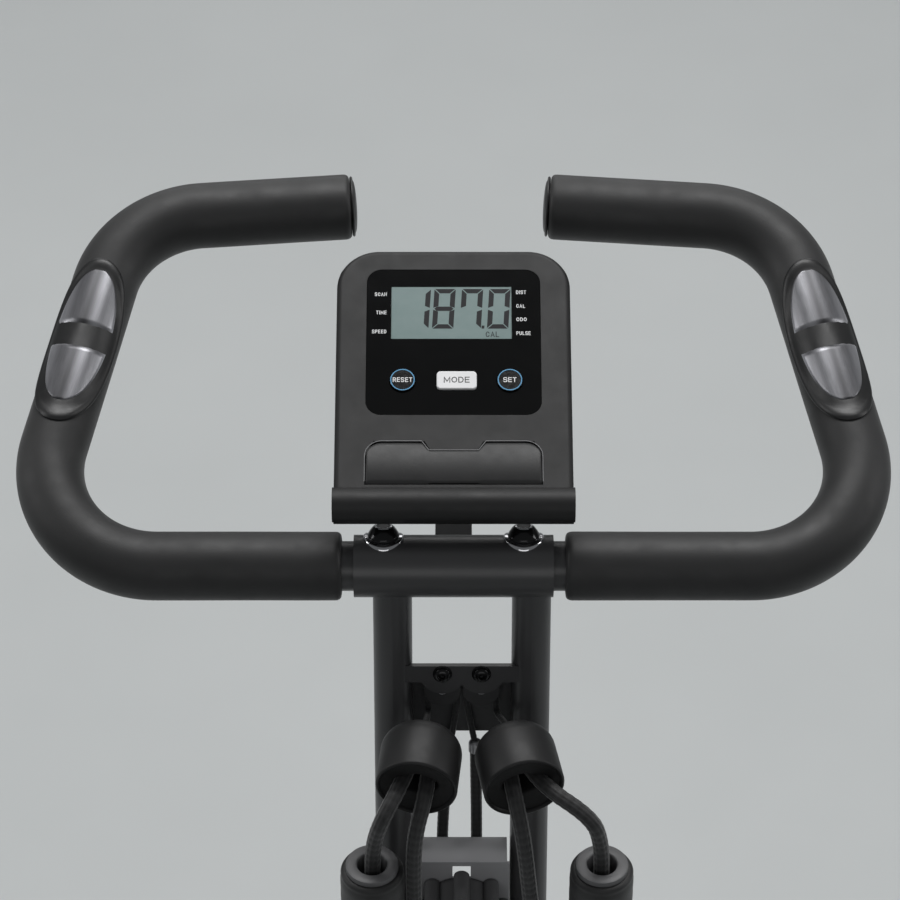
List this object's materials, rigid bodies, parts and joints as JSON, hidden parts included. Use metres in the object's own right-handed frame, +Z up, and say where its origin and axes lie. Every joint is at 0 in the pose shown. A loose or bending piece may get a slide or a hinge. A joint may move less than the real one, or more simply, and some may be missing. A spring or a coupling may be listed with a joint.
{
  "type": "folding exercise bike",
  "caption": "Folding upright magnetic exercise bike with crossed legs, loop handlebar with console and pulse grips, and two elastic pull ropes with foam handles.",
  "frame": {"origin": "on the floor, below the middle of the bike's bounding box (the two handle cords left out)", "axes": "+Z up, +Y forward (the way the rider faces), +X to the rider's right"},
  "size_m": [0.462, 0.8967, 1.1781],
  "materials": {
    "bearings": "ground",
    "button_mode": "smooth",
    "button_reset": "smooth",
    "button_set": "smooth",
    "clamp_bolts": "black and bright plated",
    "clamp_head": "satin charcoal powder coat",
    "console_back": "fine grain",
    "console_bracket": "satin charcoal powder coat",
    "console_front": "fine grain",
    "console_window": "gloss black panel",
    "crank_arms": "plated",
    "crank_axle": "turned",
    "crank_pulley": "moulded",
    "drive_belt": "ribbed belt",
    "flywheel": "machined rim",
    "flywheel_axle": "turned",
    "foam_grip_left": "matt closed-cell foam",
    "foam_grip_right": "matt closed-cell foam",
    "fold_pin": "steel pin with black knob",
    "front_end_caps": "moulded",
    "front_stabiliser": "satin charcoal powder coat",
    "handle_cord_left": "braided cord",
    "handle_cord_right": "braided cord",
    "handle_core_left": "light grey tube",
    "handle_core_right": "light grey tube",
    "handle_foam_left": "matt foam",
    "handle_foam_right": "matt foam",
    "handlebar": "satin charcoal powder coat",
    "horn_caps": "domed plug",
    "knob_bracket": "light grey gloss coat",
    "lcd_screen": "grey-green display",
    "leg_frame": "satin charcoal powder coat",
    "magnet_bracket": "zinc plated",
    "mast_frame": "satin charcoal powder coat",
    "pedal_left": "moulded, with strap",
    "pedal_right": "moulded, with strap",
    "pivot_bolt": "bright plated",
    "pivot_bushes": "nylon",
    "post_sleeve": "moulded",
    "pull_rope_left": "thin braided cord",
    "pull_rope_right": "thin braided cord",
    "pulley_bolts": "bright button heads",
    "pulley_left": "turned",
    "pulley_right": "turned",
    "pulse_housings": "matt moulded",
    "pulse_plates": "brushed",
    "rear_end_caps": "moulded",
    "rear_stabiliser": "satin charcoal powder coat",
    "resistance_knob": "moulded, eight lobes",
    "rope_sleeves": "thick elastic rope",
    "saddle_base": "plywood board",
    "saddle_cushion": "black synthetic leather over foam",
    "seat_pin": "steel pin with black knob",
    "seat_post": "satin charcoal powder coat",
    "shroud_left": "moulded cover",
    "shroud_right": "moulded cover",
    "stopper_left": "moulded bell",
    "stopper_right": "moulded bell",
    "tablet_flap": "fine grain",
    "transport_wheels": "moulded"
  },
  "bodies": {
    "mast": {"clamp_bolts": "clamp_bolts", "clamp_head": "clamp_head", "console_back": "console_back", "console_bracket": "console_bracket", "console_front": "console_front", "console_window": "console_window", "foam_grip_left": "foam_grip_left", "foam_grip_right": "foam_grip_right", "handlebar": "handlebar", "horn_caps": "horn_caps", "knob_bracket": "knob_bracket", "lcd_screen": "lcd_screen", "mast_frame": "mast_frame", "pivot_bolt": "pivot_bolt", "pull_rope_left": "pull_rope_left", "pull_rope_right": "pull_rope_right", "pulley_bolts": "pulley_bolts", "pulse_housings": "pulse_housings", "pulse_plates": "pulse_plates", "rear_end_caps": "rear_end_caps", "rear_stabiliser": "rear_stabiliser", "rope_sleeves": "rope_sleeves"},
    "leg": {"leg_frame": "leg_frame", "front_stabiliser": "front_stabiliser", "front_end_caps": "front_end_caps", "pivot_bushes": "pivot_bushes", "bearings": "bearings", "shroud_left": "shroud_left", "shroud_right": "shroud_right", "drive_belt": "drive_belt", "post_sleeve": "post_sleeve"},
    "reset_key": {"button_reset": "button_reset"},
    "mode_key": {"button_mode": "button_mode"},
    "set_key": {"button_set": "button_set"},
    "flap": {"tablet_flap": "tablet_flap"},
    "knob": {"resistance_knob": "resistance_knob"},
    "magnets": {"magnet_bracket": "magnet_bracket"},
    "rope_wheel_left": {"pulley_left": "pulley_left"},
    "rope_wheel_right": {"pulley_right": "pulley_right"},
    "pull_left": {"stopper_left": "stopper_left", "handle_foam_left": "handle_foam_left", "handle_core_left": "handle_core_left", "handle_cord_left": "handle_cord_left"},
    "pull_right": {"stopper_right": "stopper_right", "handle_foam_right": "handle_foam_right", "handle_core_right": "handle_core_right", "handle_cord_right": "handle_cord_right"},
    "lock_pin": {"fold_pin": "fold_pin"},
    "seat": {"seat_post": "seat_post", "saddle_base": "saddle_base", "saddle_cushion": "saddle_cushion"},
    "seat_lock": {"seat_pin": "seat_pin"},
    "fly": {"flywheel": "flywheel", "flywheel_axle": "flywheel_axle"},
    "crank": {"crank_axle": "crank_axle", "crank_pulley": "crank_pulley", "crank_arms": "crank_arms"},
    "foot_left": {"pedal_left": "pedal_left"},
    "foot_right": {"pedal_right": "pedal_right"},
    "wheels": {"transport_wheels": "transport_wheels"}
  },
  "joints": [
    {"name": "reset_press", "type": "slide", "parent": "mast", "child": "reset_key", "axis": [0, 0.3502, -0.9367], "range_m": [0, 0.0008], "stiffness_N_per_m": 500, "springref_m": -0.0004},
    {"name": "mode_press", "type": "slide", "parent": "mast", "child": "mode_key", "axis": [0, 0.3502, -0.9367], "range_m": [0, 0.0008], "stiffness_N_per_m": 500, "springref_m": -0.0004},
    {"name": "set_press", "type": "slide", "parent": "mast", "child": "set_key", "axis": [0, 0.3502, -0.9367], "range_m": [0, 0.0008], "stiffness_N_per_m": 500, "springref_m": -0.0004},
    {"name": "flap_open", "type": "hinge", "parent": "mast", "child": "flap", "pos_m": [-0.0043, 0.24614, 1.12714], "axis": [1, 0, 0], "range_deg": [0, 90]},
    {"name": "knob_turn", "type": "hinge", "parent": "mast", "child": "knob", "pos_m": [0, 0.1588, 0.8905], "axis": [0, -1, 0], "range_deg": [0, 300]},
    {"name": "magnet_swing", "type": "hinge", "parent": "leg", "child": "magnets", "pos_m": [0, 0.17158, 0.25142], "axis": [1, 0, 0], "range_deg": [0, 3.6]},
    {"name": "pull_out_left", "type": "slide", "parent": "mast", "child": "pull_left", "axis": [-0.108, -0.9901, -0.09], "range_m": [0, 0.25], "stiffness_N_per_m": 150, "springref_m": -0.05},
    {"name": "pull_out_right", "type": "slide", "parent": "mast", "child": "pull_right", "axis": [0.1893, -0.9801, -0.0601], "range_m": [0, 0.25], "stiffness_N_per_m": 150, "springref_m": -0.05},
    {"name": "rope_wheel_spin_left", "type": "hinge", "parent": "mast", "child": "rope_wheel_left", "pos_m": [-0.01, 0.21302, 1.01475], "axis": [0, -0.9763, 0.2164], "continuous": true},
    {"name": "rope_wheel_spin_right", "type": "hinge", "parent": "mast", "child": "rope_wheel_right", "pos_m": [0.01, 0.21302, 1.01475], "axis": [0, -0.9763, 0.2164], "continuous": true},
    {"name": "fold", "type": "hinge", "parent": "mast", "child": "leg", "pos_m": [0, -0.05839, 0.43], "axis": [1, 0, 0], "range_deg": [-36, 0]},
    {"name": "fold_pin_pull", "type": "slide", "parent": "mast", "child": "lock_pin", "axis": [1, 0, 0], "range_m": [0, 0.012], "stiffness_N_per_m": 400, "springref_m": -0.01},
    {"name": "seat_raise", "type": "slide", "parent": "leg", "child": "seat", "axis": [0, -0.5736, 0.8192], "range_m": [0, 0.08]},
    {"name": "seat_pin_pull", "type": "slide", "parent": "leg", "child": "seat_lock", "axis": [0, 0.8192, 0.5736], "range_m": [0, 0.008], "stiffness_N_per_m": 400, "springref_m": -0.01},
    {"name": "flywheel_spin", "type": "hinge", "parent": "leg", "child": "fly", "pos_m": [0, 0.22416, 0.35031], "axis": [1, 0, 0], "continuous": true},
    {"name": "crank_turn", "type": "hinge", "parent": "leg", "child": "crank", "pos_m": [0, 0.15374, 0.21787], "axis": [1, 0, 0], "continuous": true},
    {"name": "pedal_spin_left", "type": "hinge", "parent": "crank", "child": "foot_left", "pos_m": [0, 0.04045, 0.2707], "axis": [1, 0, 0], "continuous": true},
    {"name": "pedal_spin_right", "type": "hinge", "parent": "crank", "child": "foot_right", "pos_m": [0, 0.26703, 0.16504], "axis": [1, 0, 0], "continuous": true},
    {"name": "wheel_roll", "type": "hinge", "parent": "leg", "child": "wheels", "pos_m": [0, 0.38861, 0.027], "axis": [1, 0, 0], "continuous": true}
  ],
  "couplings": [
    {"joint": "magnet_swing", "follows": "knob_turn", "ratio": 0.011667},
    {"joint": "crank_turn", "follows": "flywheel_spin", "ratio": 0.125}
  ]
}
